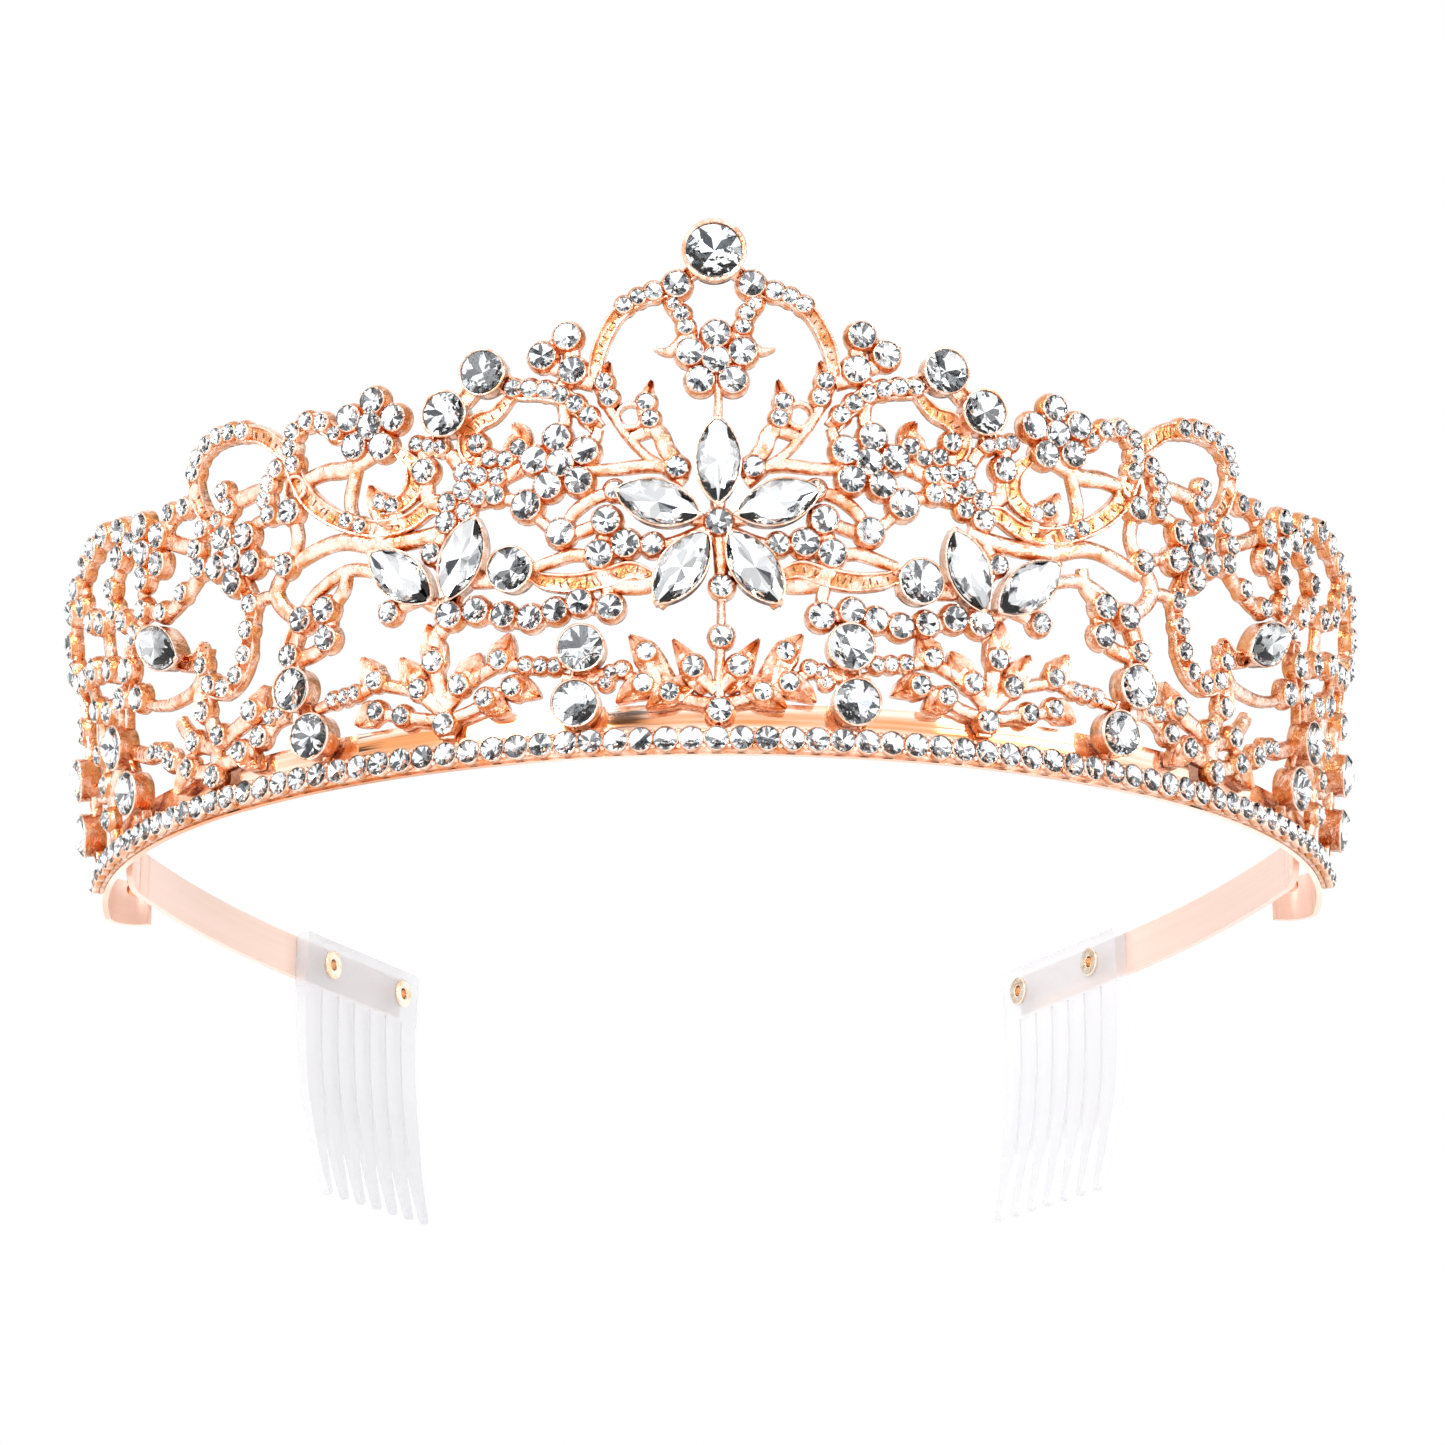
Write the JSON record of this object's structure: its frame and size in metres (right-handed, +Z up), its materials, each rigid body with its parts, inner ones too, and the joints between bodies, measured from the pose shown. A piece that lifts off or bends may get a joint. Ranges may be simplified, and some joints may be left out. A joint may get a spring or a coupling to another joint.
{
  "type": "bridal tiara",
  "caption": "Rose gold bridal tiara: openwork castings set with crystals on a curved band, with a clear comb on an arm at each end.",
  "frame": {"origin": "middle of the tiara's width and depth, at the level of the comb tips", "axes": "+X to the right seen from the front, which is the wearer's left, +Y to the back of the head, +Z up"},
  "size_m": [0.169, 0.1417, 0.0922],
  "materials": {
    "rose_gold": "bright rose gold plate on cast alloy, darker in the recesses",
    "satin_rose_gold": "satin pale rose gold plate on flat strip",
    "solder": "rough heat-stained solder",
    "crystal": "faceted clear crystal with a foiled back",
    "clear_plastic": "clear moulded plastic with a faint milky cast"
  },
  "bodies": {
    "root": {"liner_band": "satin_rose_gold", "cup_chain": "rose_gold", "row_stones": "crystal", "crest_arch": "rose_gold", "crest_flower": "rose_gold", "star_flower": "rose_gold", "centre_sprig": "rose_gold", "centre_settings": "rose_gold", "centre_stones": "crystal", "star_navettes": "crystal", "left_round_pair": "rose_gold", "right_round_pair": "rose_gold", "left_leaf_sprig": "rose_gold", "right_leaf_sprig": "rose_gold", "left_cup_row": "rose_gold", "right_cup_row": "rose_gold", "left_star_spray": "rose_gold", "right_star_spray": "rose_gold", "left_shoulder_scroll": "rose_gold", "right_shoulder_scroll": "rose_gold", "left_navette_spray": "rose_gold", "right_navette_spray": "rose_gold", "left_outer_scroll": "rose_gold", "right_outer_scroll": "rose_gold", "left_outer_post": "rose_gold", "right_outer_post": "rose_gold", "left_outer_sprig": "rose_gold", "right_outer_sprig": "rose_gold", "left_side_arch": "rose_gold", "right_side_arch": "rose_gold", "left_side_hook": "rose_gold", "right_side_hook": "rose_gold", "left_side_spray": "rose_gold", "right_side_spray": "rose_gold", "left_end_spray": "rose_gold", "right_end_spray": "rose_gold", "left_crest_leg": "rose_gold", "right_crest_leg": "rose_gold", "left_settings": "rose_gold", "left_small_stones": "crystal", "left_large_stones": "crystal", "left_navettes": "crystal", "left_arm": "satin_rose_gold", "left_solder": "solder", "left_comb": "clear_plastic", "left_eyelets": "rose_gold", "right_settings": "rose_gold", "right_small_stones": "crystal", "right_large_stones": "crystal", "right_navettes": "crystal", "right_arm": "satin_rose_gold", "right_solder": "solder", "right_comb": "clear_plastic", "right_eyelets": "rose_gold"}
  },
  "joints": []
}
